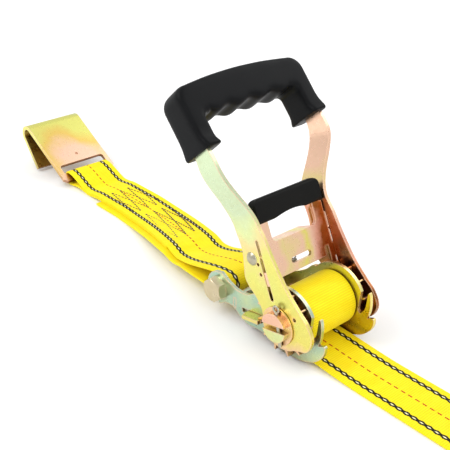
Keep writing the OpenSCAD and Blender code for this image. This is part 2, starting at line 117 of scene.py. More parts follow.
# A square lamp that looks at the aim point.
def softBox(name, aim, place, size, power):
    data = bpy.data.lights.new(name, "AREA")
    data.shape = "SQUARE"
    data.size = size
    data.energy = power
    lamp = bpy.data.objects.new(name, data)
    bpy.context.scene.collection.objects.link(lamp)
    lamp.location = place
    lamp.rotation_euler = (Vector(aim) - Vector(place)).to_track_quat("-Z", "Y").to_euler()


# Three lamps, a world that is white overhead and greyer below, and a wide pale floor.
def buildStudio(studio):
    for name in ("key", "fill", "rim"):
        softBox(name, studio["aim"], **studio[name])
    world = bpy.data.worlds.new("studio")
    bpy.context.scene.world = world
    world.use_nodes = True
    tree = world.node_tree
    background = tree.nodes["Background"]
    background.inputs["Strength"].default_value = 1.0
    # the height of a direction, -1 to 1, turned into 0 to 1 for the ramp
    coords = tree.nodes.new("ShaderNodeTexCoord")
    split = tree.nodes.new("ShaderNodeSeparateXYZ")
    ramp = tree.nodes.new("ShaderNodeValToRGB")
    tree.links.new(coords.outputs["Generated"], split.inputs[0])
    spread = tree.nodes.new("ShaderNodeMath")
    spread.operation = "MULTIPLY_ADD"
    spread.inputs[1].default_value = 0.5
    spread.inputs[2].default_value = 0.5
    tree.links.new(split.outputs["Z"], spread.inputs[0])
    tree.links.new(spread.outputs[0], ramp.inputs[0])
    greys = studio["ground"], studio["sky"]
    for element, position, grey in zip(ramp.color_ramp.elements, studio["horizon"], greys):
        element.position = position
        element.color = (grey, grey, grey, 1)
    tree.links.new(ramp.outputs[0], background.inputs["Color"])
    data = bpy.data.meshes.new("floor")
    reach = studio["floor half"]
    corners = [(x * reach, y * reach, 0) for x, y in ((-1, -1), (1, -1), (1, 1), (-1, 1))]
    data.from_pydata(corners, [], [(0, 1, 2, 3)])
    floor = bpy.data.objects.new("floor", data)
    bpy.context.scene.collection.objects.link(floor)
    material = bpy.data.materials.new("paper")
    material.use_nodes = True
    shader = material.node_tree.nodes["Principled BSDF"]
    shader.inputs["Base Color"].default_value = (*studio["floor"], 1)
    shader.inputs["Roughness"].default_value = studio["floor roughness"]
    shader.inputs["Specular IOR Level"].default_value = studio["floor shine"]
    data.materials.append(material)
    floor.location = (0, 0, -studio["floor drop"])


placeCamera(shot)
buildStudio(studio)
print("camera, floor and light are set")


# Screen colour from 0 to 255 turned into the linear colour that the shader wants.
def tint(red, green, blue):
    parts = [c / 255 for c in (red, green, blue)]
    return tuple(c / 12.92 if c <= 0.04045 else ((c + 0.055) / 1.055) ** 2.4 for c in parts) + (1,)


# A material with short ways to add and join its nodes.
class Finish:
    def __init__(self, name, **sockets):
        self.material = bpy.data.materials.new(name)
        self.material.use_nodes = True
        self.tree = self.material.node_tree
        self.shader = self.tree.nodes["Principled BSDF"]
        for socket, value in sockets.items():
            self.shader.inputs[socket.replace("_", " ")].default_value = value
        self.objectCoords = self.add("ShaderNodeTexCoord").outputs["Object"]

    def add(self, kind, inputs=(), **settings):
        node = self.tree.nodes.new(kind)
        for key, value in settings.items():
            setattr(node, key, value)
        for key, value in dict(inputs).items():
            socket = node.inputs[key]
            if isinstance(value, bpy.types.NodeSocket):
                self.tree.links.new(value, socket)
            else:
                socket.default_value = value
        return node

    def math(self, operation, *values):
        return self.add("ShaderNodeMath", dict(enumerate(values)), operation=operation).outputs[0]

    def noise(self, scale, detail=3.0, roughness=0.5, stretch=(1, 1, 1), shift=(0, 0, 0), coords=None):
        place = self.add("ShaderNodeMapping", {"Vector": coords or self.objectCoords,
                                               "Scale": stretch, "Location": shift})
        return self.add("ShaderNodeTexNoise", {"Vector": place.outputs[0], "Scale": scale,
                                               "Detail": detail, "Roughness": roughness}).outputs["Fac"]

    def ramp(self, value, stops):
        node = self.add("ShaderNodeValToRGB", {"Fac": value})
        line = node.color_ramp
        while len(line.elements) < len(stops):
            line.elements.new(0.5)
        for element, (position, colour) in zip(line.elements, stops):
            element.position = position
            element.color = colour if len(colour) == 4 else (*colour, 1)
        return node.outputs["Color"]

    def mix(self, amount, first, second):
        node = self.add("ShaderNodeMix", data_type="RGBA", blend_type="MIX")
        for key, value in ((0, amount), (6, first), (7, second)):
            if isinstance(value, bpy.types.NodeSocket):
                self.tree.links.new(value, node.inputs[key])
            else:
                node.inputs[key].default_value = value
        return node.outputs[2]

    def spread(self, value, low, high, fromLow=0.0, fromHigh=1.0):
        return self.add("ShaderNodeMapRange", {"Value": value, "From Min": fromLow, "From Max": fromHigh,
                                               "To Min": low, "To Max": high}).outputs[0]

    def join(self, **sockets):
        for socket, value in sockets.items():
            self.tree.links.new(value, self.shader.inputs[socket.replace("_", " ")])

    # The normal of the surface with its sharp edges rounded.
    def rounded(self, radius):
        return self.add("ShaderNodeBevel", {"Radius": radius}, samples=4).outputs[0]

    # A normal tilted by the slope of a height, as strongly as the finish's own values say.
    def bump(self, values, height, **normal):
        return self.add("ShaderNodeBump", {"Strength": values["bump"], "Distance": values["bump depth"],
                                           "Height": height, **normal}).outputs[0]

    # 0 on flat faces, towards 1 near sharp edges: how far a rounded normal turns from the true one.
    def edges(self, radius):
        true = self.add("ShaderNodeNewGeometry").outputs["Normal"]
        same = self.add("ShaderNodeVectorMath", {0: self.rounded(radius), 1: true},
                        operation="DOT_PRODUCT")
        return self.math("SUBTRACT", 1.0, same.outputs["Value"])


plating = {
    "green": tint(217, 226, 164),
    "yellow": tint(234, 222, 116),
    "lime": tint(226, 224, 122),
    "gold": tint(232, 198, 106),
    "straw": tint(236, 214, 150),
    "pink": tint(244, 202, 174),
    "rose": tint(226, 164, 142),
    "sky": tint(206, 222, 184),
    "teal": tint(170, 200, 180),
    "steel": tint(232, 224, 205),
    "bronze": tint(150, 84, 34),
    "umber": tint(92, 48, 26),
    "roughness": (0.2, 0.36),
    "patch": 14.0,  # blotches per metre
    "finer": 63.0,  # small blotches per metre
    "fine share": 0.14,
    "grain": 900.0,
    "dull": 210.0,
    "speck": 1500.0,
    "dull tint": tint(196, 176, 120),
    "edge share": 0.85,
    "speck share": 0.16,
    "dull share": 0.12,
    "film start": 0.30,
    "film span": 0.40,
    "bump": 0.1,
    "bump depth": 0.05 * mm,
    "edge": 2.2 * mm,
    "rounding": 0.45 * mm,
    "shelter": 34 * mm,  # how far the painted shade looks for surfaces around it
}


# Yellow passivated zinc: film depth runs through a row of film colours. It is a slow noise plus a
# slope along a direction from a starting point; edges turn pink, and faces that ambient occlusion finds
# enclosed get painted shade, bronze then umber.
def zincPlating(name, order, shift, origin=(0, 0, 0), slope=(0, 0, 0), blotch=0.8, shade=0.85, reach=0.5):
    p = plating
    f = Finish(name, Metallic=1.0)
    slow = f.noise(p["patch"], 2.0, 0.45, shift=shift)
    finer = f.noise(p["finer"], 4.0, 0.6, shift=shift)
    fine = p["fine share"]
    film = f.math("ADD", f.math("MULTIPLY", slow, 1 - fine), f.math("MULTIPLY", finer, fine))
    film = f.math("MULTIPLY", f.math("SUBTRACT", film, 0.5), blotch)
    away = f.add("ShaderNodeVectorMath", {0: f.objectCoords, 1: origin}, operation="SUBTRACT")
    along = f.add("ShaderNodeVectorMath", {0: away.outputs[0], 1: slope}, operation="DOT_PRODUCT")
    film = f.math("ADD", f.math("ADD", film, 0.5), along.outputs["Value"])
    step = p["film span"] / (len(order) - 1)
    colour = f.ramp(film, [(p["film start"] + step * i, p[c]) for i, c in enumerate(order)])
    edge = f.spread(f.edges(p["edge"]), 0.0, p["edge share"], 0.01, 0.2)
    colour = f.mix(edge, colour, p["pink"])
    # bronze, then umber, where little light reaches
    clear = f.add("ShaderNodeAmbientOcclusion", {"Distance": p["shelter"]}, samples=12).outputs["AO"]
    bronzeShade = f.spread(clear, shade, 0.0, 0.1, reach)
    umberShade = f.spread(clear, shade, 0.0, 0.0, reach / 2)
    colour = f.mix(bronzeShade, colour, p["bronze"])
    colour = f.mix(umberShade, colour, p["umber"])
    # handling scratches and dull spots
    grain = f.noise(p["grain"], 2.0, 0.5, (0.05, 1, 1), shift)
    dull = f.noise(p["dull"], 5.0, 0.65, (1, 1, 1), shift)
    speck = f.spread(f.noise(p["speck"], 2.0, 0.7), 0.0, 1.0, 0.70, 0.78)
    colour = f.mix(f.math("MULTIPLY", speck, p["speck share"]), colour, p["steel"])
    colour = f.mix(f.spread(dull, 0.0, p["dull share"], 0.45, 0.75), colour, p["dull tint"])
    low, high = p["roughness"]
    rough = f.math("ADD", f.spread(dull, low, high, 0.3, 0.7), f.math("MULTIPLY", grain, 0.06))
    height = f.math("ADD", f.math("MULTIPLY", grain, 0.5), f.math("MULTIPLY", dull, 0.5))
    bump = f.bump(p, height, Normal=f.rounded(p["rounding"]))
    f.join(Base_Color=colour, Roughness=rough, Normal=bump)
    return f.material


steel = {
    "cloud": 160.0,
    "marks": 1300.0,
    "cloud tint": tint(196, 180, 138),
    "edge tint": tint(246, 238, 220),
    "edge": 0.5 * mm,
    "rounding": 0.35 * mm,
    "bump": 0.15,
    "bump depth": 0.04 * mm,
}


# Bright plated steel: a slow cloud dulls it, fine marks run along Y, edges are lighter.
def brightSteel(name, colour, roughness=(0.22, 0.4)):
    f = Finish(name, Metallic=1.0)
    cloud = f.noise(steel["cloud"], 4.0, 0.6)
    marks = f.noise(steel["marks"], 2.0, 0.5, (1, 0.08, 1))
    tone = f.mix(f.spread(cloud, 0.0, 0.35, 0.4, 0.7), colour, steel["cloud tint"])
    tone = f.mix(f.spread(f.edges(steel["edge"]), 0.0, 0.6, 0.02, 0.25), tone, steel["edge tint"])
    rough = f.math("ADD", f.spread(cloud, *roughness, 0.3, 0.7), f.math("MULTIPLY", marks, 0.05))
    bump = f.bump(steel, marks, Normal=f.rounded(steel["rounding"]))
    f.join(Base_Color=tone, Roughness=rough, Normal=bump)
    return f.material


plastic = {
    "cloud": 38.0,
    "scuff": 420.0,
    "scuff tint": tint(64, 65, 66),
    "scuff share": 0.12,
    "bump": 0.2,
    "bump depth": 0.04 * mm,
}


# Black plastic: a fine spark-eroded grain, slow paler patches and a few short scuffs.
def mouldedBlack(name, colour, grain, sheen, roughness):
    f = Finish(name, Specular_IOR_Level=0.1)
    pores = f.noise(grain, 2.0, 0.6)
    cloud = f.noise(plastic["cloud"], 3.0, 0.5)
    scuff = f.spread(f.noise(plastic["scuff"], 5.0, 0.7, (0.25, 1, 1)), 0.0, 1.0, 0.6, 0.8)
    tone = f.mix(f.spread(cloud, 0.0, 0.5, 0.35, 0.7), colour, sheen)
    tone = f.mix(f.math("MULTIPLY", scuff, plastic["scuff share"]), tone, plastic["scuff tint"])
    rough = f.math("ADD", f.spread(cloud, *roughness, 0.35, 0.7), f.math("MULTIPLY", pores, 0.12))
    f.join(Base_Color=tone, Roughness=rough, Normal=f.bump(plastic, pores))
    return f.material


cloth = {
    "yellow": tint(249, 226, 6),
    "bright": tint(252, 238, 26),
    "valley": tint(218, 174, 2),
    "black": tint(8, 7, 6),
    "cream": tint(255, 250, 206),
    "red": tint(178, 40, 8),
    "rib": 1.85 * mm,  # weft rib
    "warp": 0.95 * mm,  # warp yarn
    "fibre": 2600.0,
    "uneven": 120.0,
    "bump": 0.45,
    "bump depth": 0.18 * mm,
    "chain": {"from middle": 17.3 * mm, "pitch": 6.45 * mm, "spread": 0.96 * mm, "swing": 0.4 * mm,
              "half line": 0.9 * mm},
    "dash": {"pitch": 6.42 * mm, "share": 0.6, "half line": 0.6 * mm},
}


# Woven webbing, drawn from two distances carried by the mesh: across, from the middle, and along.
# The marked face has a chain of two wavy black lines near each edge and a red dash down its middle.
def webbingCloth(name):
    c = cloth
    f = Finish(name, Roughness=0.62, Sheen_Weight=0.06, Sheen_Roughness=0.4, Specular_IOR_Level=0.2)
    across = f.add("ShaderNodeAttribute", attribute_name="across").outputs["Fac"]
    along = f.add("ShaderNodeAttribute", attribute_name="along").outputs["Fac"]
    marked = f.add("ShaderNodeAttribute", attribute_name="marked").outputs["Fac"]
    turn = 2 * math.pi

    def wave(value, pitch):
        return f.math("COSINE", f.math("MULTIPLY", value, turn / pitch))

    weft = f.spread(wave(along, c["rib"]), 0.0, 1.0, -1.0, 1.0)
    warp = f.spread(wave(across, c["warp"]), 0.0, 1.0, -1.0, 1.0)
    flat = f.add("ShaderNodeCombineXYZ", {"X": across, "Y": along}).outputs[0]
    fibre = f.noise(c["fibre"], 3.0, 0.6, (1, 0.16, 1), coords=flat)
    uneven = f.noise(c["uneven"], 3.0, 0.5, (0.35, 1, 1), coords=flat)
    tone = f.mix(f.spread(uneven, 0.0, 1.0, 0.3, 0.7), c["yellow"], c["bright"])
    # painted shade: the weft rib valleys and the gaps between warp yarns are darkened towards the valley
    # shade colour
    shade = f.math("MULTIPLY", f.math("SUBTRACT", 1.0, weft), f.spread(fibre, 0.2, 0.55, 0.3, 0.7))
    tone = f.mix(shade, tone, c["valley"])
    tone = f.mix(f.math("MULTIPLY", f.math("SUBTRACT", 1.0, warp), 0.10), tone, c["valley"])
    # two chains of wavy lines
    chain = c["chain"]
    off = f.math("ABSOLUTE", f.math("SUBTRACT", f.math("ABSOLUTE", across), chain["from middle"]))
    half = f.math("ADD", f.math("MULTIPLY", wave(along, chain["pitch"]), chain["swing"]), chain["spread"])
    gap = f.math("SUBTRACT", off, half)
    line = f.spread(f.math("ABSOLUTE", gap), 1.0, 0.0, chain["half line"] * 0.75, chain["half line"] * 1.15)
    inside = f.spread(gap, 1.0, 0.0, -chain["half line"], -chain["half line"] * 0.6)
    tone = f.mix(f.math("MULTIPLY", inside, marked), tone, c["cream"])
    # red dash
    dash = c["dash"]
    part = f.math("FRACT", f.math("MULTIPLY", along, 1 / dash["pitch"]))
    long = f.spread(f.math("ABSOLUTE", f.math("SUBTRACT", part, 0.5)), 1.0, 0.0,
                    dash["share"] / 2 - 0.05, dash["share"] / 2 + 0.03)
    wide = f.spread(f.math("ABSOLUTE", across), 1.0, 0.0, dash["half line"] * 0.8, dash["half line"] * 1.2)
    red = f.math("MULTIPLY", f.math("MULTIPLY", long, wide), marked)
    tone = f.mix(red, tone, c["red"])
    black = f.math("MULTIPLY", line, marked)
    tone = f.mix(black, tone, c["black"])
    height = f.math("ADD", f.math("MULTIPLY", warp, 0.5), f.math("MULTIPLY", fibre, 0.5))
    height = f.math("ADD", height, f.math("MULTIPLY", f.math("ADD", black, red), 0.5))
    f.join(Base_Color=tone, Normal=f.bump(c, height))
    return f.material


thread = {
    "strands": 2400.0,
    "light": tint(60, 42, 30),
    "bump": 0.5,
    "bump depth": 0.1 * mm,
}


# Twisted thread: fine noise for its strands.
def sewingThread(name, colour):
    f = Finish(name, Roughness=0.5, Sheen_Weight=0.2)
    twist = f.noise(thread["strands"], 2.0, 0.5, (1, 0.4, 0.4))
    tone = f.mix(f.spread(twist, 0.0, 0.4, 0.35, 0.7), colour, thread["light"])
    f.join(Base_Color=tone, Normal=f.bump(thread, twist))
    return f.material


hookMiddle = 36 * mm  # from a hook's bar to the middle of its plate

finishes = {
    "handleNear": zincPlating("zincHandleNear", ("pink", "yellow", "lime", "straw", "green", "sky"),
                              (0.31, 0, 0.12), origin=hubPlace, slope=(-1.05, 0, 2.2), blotch=0.8, shade=0.6),
    # the far plate's film runs down to umber and bronze low by the hub: painted shade and painted reflection
    # of the dark mechanism around it
    "handleFar": zincPlating("zincHandleFar", ("umber", "bronze", "rose", "pink", "straw", "pink"),
                             (0.7, 0.2, 0), origin=hubPlace, slope=(-1.1, 0, 2.2), blotch=0.7),
    "base": zincPlating("zincBase", ("gold", "green", "teal", "green", "yellow"), (0.05, 0.4, 0.3)),
    # bronze in the far base's and the wheels' film rows is partly the plating's own colour and partly painted
    # reflection and shade from the brown mechanism around them
    "baseFar": zincPlating("zincBaseFar", ("gold", "green", "yellow", "bronze"), (0.2, 0.4, 0.1), shade=1.0),
    "wheel": zincPlating("zincWheel", ("bronze", "gold", "pink", "bronze"), (0.9, 0.1, 0.4), shade=1.0),
    "lever": zincPlating("zincLever", ("pink", "straw", "pink", "yellow", "pink", "rose", "bronze"),
                         (0.2, 0.8, 0.5), origin=(0, 0.012, 0), slope=(0, 5, 0), blotch=1.2),
    "spindleUpper": zincPlating("zincSpindleUpper", ("pink", "rose", "pink", "straw"), (0.6, 0.6, 0),
                                shade=0.6),
    "spindleLower": zincPlating("zincSpindleLower", ("yellow", "green", "gold"), (0.4, 0.1, 0.8), shade=0.6),
    "slide": zincPlating("zincSlide", ("yellow", "straw", "yellow", "pink"), (0.15, 0.3, 0.9)),
    "hook": zincPlating("zincHook", ("pink", "pink", "gold", "lime", "lime", "sky"), (0.77, 0.02, 0.6),
                        origin=(frontBar.x - hookMiddle, 0, 0), slope=(-4, 0, 0), blotch=0.6,
                        shade=0.9, reach=0.9),
    "rearHook": zincPlating("zincRearHook", ("pink", "pink", "gold", "lime", "lime", "sky"), (0.4, 0.7, 0.2),
                            origin=(rearBar.x + hookMiddle, 0, 0), slope=(4, 0, 0), blotch=0.6,
                            shade=0.9, reach=0.9),
    "bolt": brightSteel("boltSteel", tint(206, 192, 160)),
    "rivet": brightSteel("rivetSteel", tint(178, 172, 152)),
    "wire": brightSteel("springWire", tint(176, 172, 160), (0.25, 0.4)),
    "grip": mouldedBlack("mouldedGrip", tint(11, 12, 14), 1500.0, tint(19, 20, 22), (0.34, 0.46)),
    "dip": mouldedBlack("dippedVinyl", tint(13, 13, 12), 700.0, tint(20, 20, 19), (0.4, 0.5)),
    "webbing": webbingCloth("yellowWebbing"),
    "blackThread": sewingThread("blackThread", tint(10, 8, 6)),
    "brownThread": sewingThread("brownThread", tint(96, 44, 14)),
}

nodeFinish = {
    "base_plate_near": "base", "base_plate_far": "baseFar", "base_web": "base", "anchor_bolt": "bolt",
    "anchor_washer": "bolt", "anchor_nut": "bolt", "anchor_sleeve": "base", "lock_springs": "wire",
    "spindle_half_upper": "spindleUpper", "spindle_half_lower": "spindleLower",
    "ratchet_wheel_near": "wheel", "ratchet_wheel_far": "wheel", "thrust_washers": "wheel",
    "cotter_pin_near": "wire", "cotter_pin_far": "wire", "handle_plate_near": "handleNear",
    "handle_plate_far": "handleFar", "cross_rod": "rivet", "grip_bar": "base", "handle_grip": "grip",
    "release_lever": "lever", "lever_grip": "dip", "lever_spring": "wire", "lock_slide": "slide",
    "flat_hook_front": "hook", "flat_hook_rear": "rearHook",
}
for node, finish in nodeFinish.items():
    for slot in nodes[node].material_slots:
        slot.material = finishes[finish]
print("materials:", len(finishes))


# Four-sided faces of a tube whose vertex j of ring i has number i * columns + j.
def gridFaces(rows, columns):
    i = np.arange(rows - 1)[:, None]
    j = np.arange(columns)[None, :]
    right = (j + 1) % columns
    here, below = i * columns, (i + 1) * columns
    faces = np.stack([here + j, here + right, below + right, below + j], -1)
    return faces.reshape(-1, 4)


# Six times the signed volume: negative when the faces look inwards.
def facing(points, faces, caps):
    p = points[faces]
    total = 0.0
    for a, b, c in ((0, 1, 2), (0, 2, 3)):
        total += np.einsum("ij,ij->i", p[:, a], np.cross(p[:, b], p[:, c])).sum()
    for cap in caps:
        q = points[cap]
        total += (np.cross(q[1:-1], q[2:]) @ q[0]).sum()
    return total


# A closed mesh from whole arrays, with its faces turned outwards.
def makePiece(name, points, faces, finish, caps=(), marks=None):
    points = np.asarray(points, float).reshape(-1, 3)
    caps = [list(cap) for cap in caps]
    if facing(points, faces, caps) < 0:
        faces = faces[:, ::-1]
        caps = [cap[::-1] for cap in caps]
    data = bpy.data.meshes.new(name)
    data.from_pydata(points.tolist(), [], faces.tolist() + caps)
    for mark, values in (marks or {}).items():
        attribute = data.attributes.new(mark, "FLOAT", "POINT")
        attribute.data.foreach_set("value", np.asarray(values, np.float32).ravel())
    data.polygons.foreach_set("use_smooth", np.full(len(data.polygons), True))
    data.materials.append(finishes[finish])
    data.update()
    piece = bpy.data.objects.new(name, data)
    bpy.context.scene.collection.objects.link(piece)
    return piece


# Directions of length 1.
def unit(v):
    return v / np.maximum(np.linalg.norm(v, axis=-1, keepdims=True), 1e-12)


# 0 to 1 with level ends: three times the square less twice the cube.
def ease(t):
    t = np.clip(t, 0, 1)
    return t * t * (3 - 2 * t)


# Distance along a line, at each of its points.
def lengths(line):
    steps = np.linalg.norm(np.diff(line, axis=0), axis=1)
    return np.concatenate([[0], np.cumsum(steps)])


# The same line with its points a step apart.
def evenly(line, step):
    s = lengths(line)
    at = np.linspace(0, s[-1], max(2, int(round(s[-1] / step)) + 1))
    return np.stack([np.interp(at, s, line[:, k]) for k in range(line.shape[1])], 1)


webbing = {
    "width": 50 * mm,
    "thickness": 2.1 * mm,
    "rib height": 0.11 * mm,
    "layer gap": 0.08 * mm,
    "rib fade": 1.5 * mm,  # ribs die out this near to an edge
    "columns": 24,
    "fine step": cloth["rib"] / 4,
    "coarse step": 2.4 * mm,
}


# A flat section with round edges: across and lift for each point of the loop, and how far each
# belongs to the marked face.
def webbingSection(columns):
    half, thick = webbing["width"] / 2, webbing["thickness"] / 2
    flat = np.linspace(-half + thick, half - thick, columns)
    bend = np.radians([60, 30, 0, -30, -60])
    across = np.concatenate([flat, half - thick + thick * np.cos(bend), flat[::-1],
                             -half + thick - thick * np.cos(bend)])
    lift = np.concatenate([np.full(columns, thick), thick * np.sin(bend), np.full(columns, -thick),
                           -thick * np.sin(bend)])
    marked = np.concatenate([np.ones(columns), np.zeros(columns + 10)])
    return across, lift, marked


# The section carried along a line: point = line + across * sideways + lift * normal, where the
# normal is the tangent crossed with the sideways direction. Ribs swell the thickness as a cosine
# of the distance along, less towards the edges.
def sweepWebbing(name, line, columns, start=0.0, acrossDirection=None, ribs=True):
    tangent = unit(np.gradient(line, axis=0))
    sideways = np.broadcast_to((0.0, 1.0, 0.0), line.shape) if acrossDirection is None else acrossDirection
    normal = unit(np.cross(tangent, sideways))
    across, lift, marked = webbingSection(columns)
    along = lengths(line) + start
    fade = np.clip((webbing["width"] / 2 - np.abs(across)) / webbing["rib fade"], 0, 1)
    swell = webbing["rib height"] * np.cos(2 * np.pi * along / cloth["rib"])[:, None] * fade
    if not ribs:
        swell = np.zeros_like(swell)
    raised = lift[None, :] + np.sign(lift)[None, :] * swell
    points = line[:, None] + across[:, None] * sideways[:, None] + raised[..., None] * normal[:, None]
    rows, count = points.shape[:2]
    last = (rows - 1) * count
    caps = [np.arange(count)[::-1], last + np.arange(count)]
    marks = {"across": np.broadcast_to(across, (rows, count)),
             "along": np.broadcast_to(along[:, None], (rows, count)),
             "marked": np.broadcast_to(marked, (rows, count))}
    return makePiece(name, points, gridFaces(rows, count), "webbing", caps, marks)


anchor = middle("anchor_sleeve")
shortStrap = {
    "bolt radius": 8 * mm,
    "bar radius": 5.2 * mm,
    "low at": -0.260,  # where the two layers reach the floor
    "join": -0.150,
    "join height": 14 * mm,
    "rise at": frontBar.x + 36 * mm,
    "sway from": -0.090,
    "sway over": 0.185,
    "sewn": (-0.308, -0.162),  # three layers lie on each other here
    "cut end": -0.303,
    "under drift": 6 * mm,  # the lower layer lies this far to the near side
    "drift over": 90 * mm,
    "settled": 2.5 * mm,  # height of the seam where both layers lie flat
    "third layer": 2.0 * mm,  # lift over the sewn end
    "ease in": 20 * mm,
    "below bar": 6 * mm,  # the inner layer rises this much earlier
    "points": {"inner": 160, "bar": 24, "top": 400, "bolt": 30, "bottom": 300},
}
layer = webbing["thickness"] + webbing["layer gap"]


# Height of the seam between the two layers: it eases from the join's height to the settled one.
def pairHeight(x):
    s = shortStrap
    fall = ease((s["join"] - x) / (s["join"] - s["low at"]))
    return s["settled"] + (s["join height"] - s["settled"]) * (1 - fall)


# 1 where the strap's end is sewn in under the top layer, easing to 0 beyond both ends.
def sewnShare(x):
    low, high = shortStrap["sewn"]
    fade = shortStrap["ease in"]
    return ease((x - low + fade) / fade) * ease((high + fade - x) / fade)


# Middle of the upper layer: down from the bolt, level, then up over the hook's bar.
def topHeight(x):
    s = shortStrap
    t = ease((anchor.x - x) / (anchor.x - s["join"]))
    near = (1 - t) * (anchor.z + s["bolt radius"] + layer / 2) + t * (pairHeight(x) + layer / 2)
    bar = frontBar.z + s["bar radius"] + layer / 2
    up = ease((s["rise at"] - x) / (s["rise at"] - frontBar.x))
    far = (pairHeight(x) + layer / 2) * (1 - up) + bar * up
    return np.where(x > s["join"], near, far) + s["third layer"] * sewnShare(x)


# Sideways place of the strap: it eases from 0 near the bolt to the side of the hook's bar.
def sideShift(x):
    s = shortStrap
    return frontBar.y * ease((s["sway from"] - x) / s["sway over"])


# The whole strap from its sewn end under the top layer, round the hook's bar, back along the top,
# round the bolt and along the floor to its cut end.
def shortStrapLine():
    s = shortStrap
    loop = s["bar radius"] + layer / 2
    turn = s["bolt radius"] + layer / 2
    count = s["points"]
    x = np.linspace(s["sewn"][1], frontBar.x, count["inner"])
    rise = s["rise at"] + s["below bar"]
    down = ease((rise - x) / (rise - frontBar.x))
    underTop = topHeight(x) - layer
    inner = np.stack([x, underTop * (1 - down) + (frontBar.z - loop) * down], 1)
    a = np.radians(np.linspace(270, 90, count["bar"]))[1:-1]
    roundBar = np.stack([frontBar.x + loop * np.cos(a), frontBar.z + loop * np.sin(a)], 1)
    x = np.linspace(frontBar.x, anchor.x, count["top"])
    top = np.stack([x, topHeight(x)], 1)
    a = np.radians(np.linspace(90, -90, count["bolt"]))[1:-1]
    roundBolt = np.stack([anchor.x + turn * np.cos(a), anchor.z + turn * np.sin(a)], 1)
    x = np.linspace(anchor.x, s["cut end"], count["bottom"])
    t = ease((anchor.x - x) / (anchor.x - s["join"]))
    flat = np.minimum(pairHeight(x) - layer / 2, topHeight(x) - 2 * layer)
    low = np.maximum((1 - t) * (anchor.z - turn) + t * flat, layer / 2)
    bottom = np.stack([x, low], 1)
    return inner, roundBar, top, roundBolt, bottom


# A line in X and Z lifted into space, with the strap's sideways shift, and the direction across.
def raised(line):
    step = 0.5 * mm
    slope = (sideShift(line[:, 0] + step) - sideShift(line[:, 0] - step)) / (2 * step)
    sideways = unit(np.stack([-slope, np.ones(len(line)), np.zeros(len(line))], 1))
    return np.stack([line[:, 0], sideShift(line[:, 0]), line[:, 1]], 1), sideways


# The short strap: a fine step for the part that shows, and a lower layer that drifts to the near side.
def buildShortStrap():
    inner, roundBar, top, roundBolt, bottom = shortStrapLine()
    fine, coarse = webbing["fine step"], webbing["coarse step"]
    hidden = evenly(inner, coarse)
    shown = evenly(np.concatenate([roundBar, top, roundBolt]), fine)
    under = evenly(bottom, coarse)
    flat = np.concatenate([hidden[:-1], shown, under[1:]])
    line, sideways = raised(flat)
    s = shortStrap
    lower = np.arange(len(line)) >= len(line) - len(under)
    line[:, 1] -= np.where(lower, s["under drift"] * ease((s["sway from"] - line[:, 0]) / s["drift over"]), 0)
    piece = sweepWebbing("shortWebbing", line, webbing["columns"], acrossDirection=sideways)
    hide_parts("short_strap")
    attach(piece, "base")


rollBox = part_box("webbing_roll")
spool = {
    "core": (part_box("spindle_half_lower")[1].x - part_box("spindle_half_lower")[0].x) / 2,
    "outside": (rollBox[1].z - rollBox[0].z) / 2,
    "tilt": 12.0,  # degrees between the slot and the floor
    "from": 205.0,  # degrees where the webbing leaves the spindle's slot
    "turns": 4.0,
    "throat": (0.9, -0.82),  # ends of the run through the slot, in radii of the core
    "points": 900,
    "hidden": 680,  # points of the inner turns, which are drawn coarsely
}


# Webbing on the spindle: through the slot, then a spiral whose radius grows evenly with the angle.
def buildSpool():
    inside = spool["core"] + layer / 2
    outside = spool["outside"] - layer / 2
    end = 270.0 + 360.0 * spool["turns"]
    angle = np.radians(np.linspace(spool["from"], end, spool["points"]))
    radius = inside + (outside - inside) * (angle - angle[0]) / (angle[-1] - angle[0])
    spiral = np.stack([radius * np.cos(angle), radius * np.sin(angle)], 1)
    tilt = math.radians(spool["tilt"])
    reach = np.linspace(*spool["throat"], 20) * spool["core"]
    throat = np.stack([reach * math.cos(tilt), reach * math.sin(tilt)], 1)
    step = webbing["coarse step"]
    coarse = np.concatenate([evenly(throat, step), evenly(spiral[:spool["hidden"]], step)])
    fine = evenly(spiral[spool["hidden"]:], webbing["fine step"])
    flat = np.concatenate([coarse, fine[1:]])
    line = np.stack([flat[:, 0], np.zeros(len(flat)), flat[:, 1] + axisHeight], 1)
    piece = sweepWebbing("spindleWebbing", line, webbing["columns"])
    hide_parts("webbing_roll")
    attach(piece, "spindle")


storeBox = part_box("storage_roll")
store = {
    "middle": (storeBox[0].x + storeBox[1].x) / 2,
    "radius": (storeBox[1].x - storeBox[0].x) / 2,
    "eye": 12 * mm,  # radius of the opening in the middle
    "step": 4 * mm,
    "tail step": 1.0 * mm,
    "settle": 72 * mm,  # the run reaches the floor here
    "clear": 0.25 * mm,  # gap under the spool
    "bend": 26 * mm,
    "tail lap": 6 * mm,
    "pull": 3,  # how far the S through the eye keeps a spiral's heading, in radii of the eye
    "columns": 10,
    "points": {"run": 500, "spiral": 1800, "eye": 30, "drop": 8, "bend": 14, "tail": 50, "hook": 24},
}


# The run on the floor: just under the spool, easing down to the floor.
def buildLongStrap():
    start = axisHeight - spool["outside"] - layer / 2 - store["clear"]
    x = np.linspace(0, store["middle"], store["points"]["run"])
    z = start + (layer / 2 - start) * ease(x / store["settle"])
    flat = evenly(np.stack([x, z], 1), webbing["fine step"])
    line = np.stack([flat[:, 0], np.zeros(len(flat)), flat[:, 1]], 1)
    piece = sweepWebbing("longWebbing", line, webbing["columns"], start=2.0 * mm)
    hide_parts("free_strap")
    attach(piece, "base")


